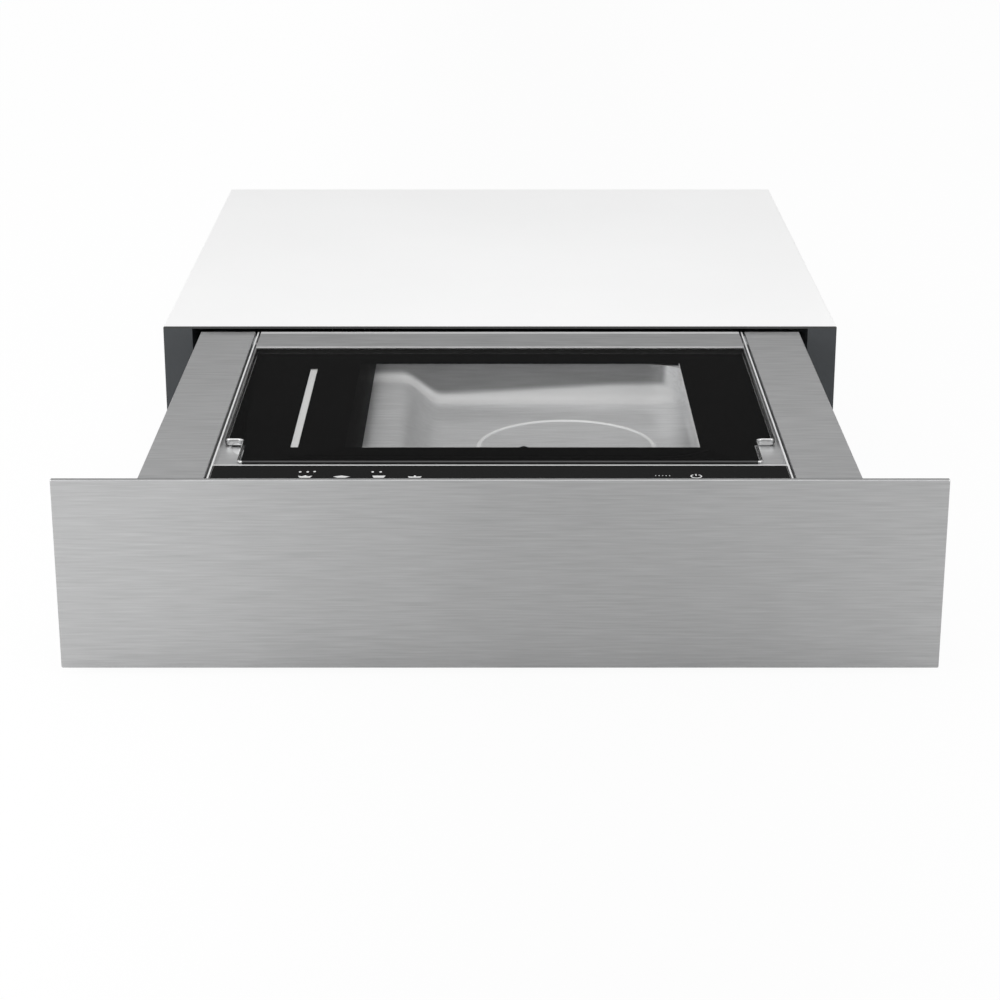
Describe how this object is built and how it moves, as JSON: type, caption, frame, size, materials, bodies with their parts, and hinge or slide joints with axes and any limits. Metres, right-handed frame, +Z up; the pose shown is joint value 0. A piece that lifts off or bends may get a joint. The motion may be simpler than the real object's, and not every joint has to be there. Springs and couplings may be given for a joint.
{
  "type": "vacuum sealing drawer",
  "caption": "Built-in kitchen drawer that vacuum seals food bags: housing on ball slides, steel front, chamber with ramped floor, hinged glass lid, lifting sealing bar and pump.",
  "frame": {"origin": "middle of the niche floor, in the front plane of the fixed housing", "axes": "+X to the right seen from the room, +Y into the kitchen unit, +Z up; the drawer runs out along -Y"},
  "size_m": [0.597, 0.9745, 0.139],
  "materials": {
    "front_steel": "long-grain brushed stainless steel",
    "cover_steel": "brushed stainless steel",
    "deck_steel": "satin stainless steel",
    "tub_steel": "deep-drawn satin stainless steel",
    "galvanised": "galvanised sheet",
    "white_coat": "white coated sheet with a dark front edge",
    "dark_paint": "anthracite powder coat",
    "lid_glass": "toughened glass",
    "print_black": "black ceramic print",
    "control_glass": "black printed glass",
    "silicone": "light grey silicone",
    "black_rubber": "black silicone rubber",
    "black_plastic": "black moulded nylon",
    "grey_plastic": "grey moulded plastic",
    "rail_steel": "zinc plated rail",
    "ball_steel": "hardened balls in a steel cage",
    "screw_steel": "zinc plated screw",
    "bronze": "sintered bronze",
    "pin_steel": "ground steel",
    "alloy": "die-cast or extruded alloy",
    "circuit_board": "solder-masked board",
    "coil_copper": "taped copper winding and laminations",
    "hose_rubber": "reinforced vacuum hose",
    "spring_steel": "spring wire",
    "tape": "coated glass cloth tape",
    "lead_black": "flexible mains lead"
  },
  "bodies": {
    "housing": {"housing_shell": "galvanised", "top_cover": "white_coat", "rear_panel": "galvanised", "side_channel_left": "dark_paint", "side_channel_right": "dark_paint", "slide_outer_left": "rail_steel", "slide_outer_right": "rail_steel", "slide_screws": "screw_steel", "latch_body": "grey_plastic", "latch_spring": "spring_steel", "mains_inlet": "black_plastic", "supply_lead": "lead_black"},
    "latch_plunger": {"latch_plunger": "grey_plastic"},
    "slide_middles": {"slide_middle_left": "rail_steel", "slide_middle_right": "rail_steel"},
    "outer_cages": {"outer_ball_cages": "ball_steel"},
    "inner_cages": {"inner_ball_cages": "ball_steel"},
    "drawer": {"slide_inner_left": "rail_steel", "slide_inner_right": "rail_steel", "drawer_screws": "screw_steel", "drawer_tray": "galvanised", "drawer_rear_panel": "galvanised", "rear_bay_cover": "dark_paint", "front_skin": "front_steel", "front_pan": "galvanised", "front_brackets": "galvanised", "deck_plate": "deck_steel", "side_cover_left": "cover_steel", "side_cover_right": "cover_steel", "control_glass": "control_glass", "touch_board": "circuit_board", "chamber_tub": "tub_steel", "chamber_gasket": "black_rubber", "hinge_trough": "dark_paint", "hinge_brackets": "alloy", "hinge_bushes": "bronze", "lift_cylinders": "alloy", "lift_springs": "spring_steel", "lift_manifold": "black_plastic", "pump_body": "alloy", "pump_feet": "black_rubber", "motor_housing": "alloy", "suction_hose": "hose_rubber", "vent_valve": "black_plastic", "seal_transformer": "coil_copper", "power_board": "circuit_board", "fan_frame": "black_plastic"},
    "fan_rotor": {"fan_rotor": "black_plastic"},
    "pump_rotor": {"pump_rotor": "pin_steel", "pump_vanes": "black_plastic", "motor_fan": "black_plastic"},
    "seal_bar": {"seal_bar": "alloy", "heating_strip": "spring_steel", "seal_tape": "tape", "lift_rods": "pin_steel"},
    "lid": {"lid_glass": "lid_glass", "lid_mask": "print_black", "counter_bar": "silicone", "hinge_bar": "cover_steel", "hinge_pins": "pin_steel"}
  },
  "joints": [
    {"name": "drawer_slide", "type": "slide", "parent": "housing", "child": "drawer", "axis": [0, -1, 0], "range_m": [-0.404, 0], "deforming": ["supply_lead"]},
    {"name": "slide_middle_travel", "type": "slide", "parent": "housing", "child": "slide_middles", "axis": [0, -1, 0], "range_m": [-0.202, 0]},
    {"name": "outer_cage_travel", "type": "slide", "parent": "housing", "child": "outer_cages", "axis": [0, -1, 0], "range_m": [-0.101, 0]},
    {"name": "inner_cage_travel", "type": "slide", "parent": "housing", "child": "inner_cages", "axis": [0, -1, 0], "range_m": [-0.303, 0]},
    {"name": "lid_hinge", "type": "hinge", "parent": "drawer", "child": "lid", "pos_m": [0, -0.02, 0.1176], "axis": [-1, 0, 0], "range_deg": [0, 80]},
    {"name": "seal_bar_lift", "type": "slide", "parent": "drawer", "child": "seal_bar", "axis": [0, 0, 1], "range_m": [0, 0.005], "stiffness_N_per_m": 800, "springref_m": -0.004, "deforming": ["lift_springs"]},
    {"name": "latch_press", "type": "slide", "parent": "housing", "child": "latch_plunger", "axis": [0, -1, 0], "range_m": [-0.004, 0], "stiffness_N_per_m": 600, "springref_m": 0.004, "deforming": ["latch_spring"]},
    {"name": "pump_spin", "type": "hinge", "parent": "drawer", "child": "pump_rotor", "pos_m": [-0.144, 0.054, 0.0612], "axis": [1, 0, 0], "continuous": true},
    {"name": "fan_spin", "type": "hinge", "parent": "drawer", "child": "fan_rotor", "pos_m": [0.195, 0.09, 0.058], "axis": [0, 1, 0], "continuous": true}
  ],
  "couplings": [
    {"joint": "slide_middle_travel", "follows": "drawer_slide", "ratio": 0.5},
    {"joint": "outer_cage_travel", "follows": "drawer_slide", "ratio": 0.25},
    {"joint": "inner_cage_travel", "follows": "drawer_slide", "ratio": 0.75}
  ]
}
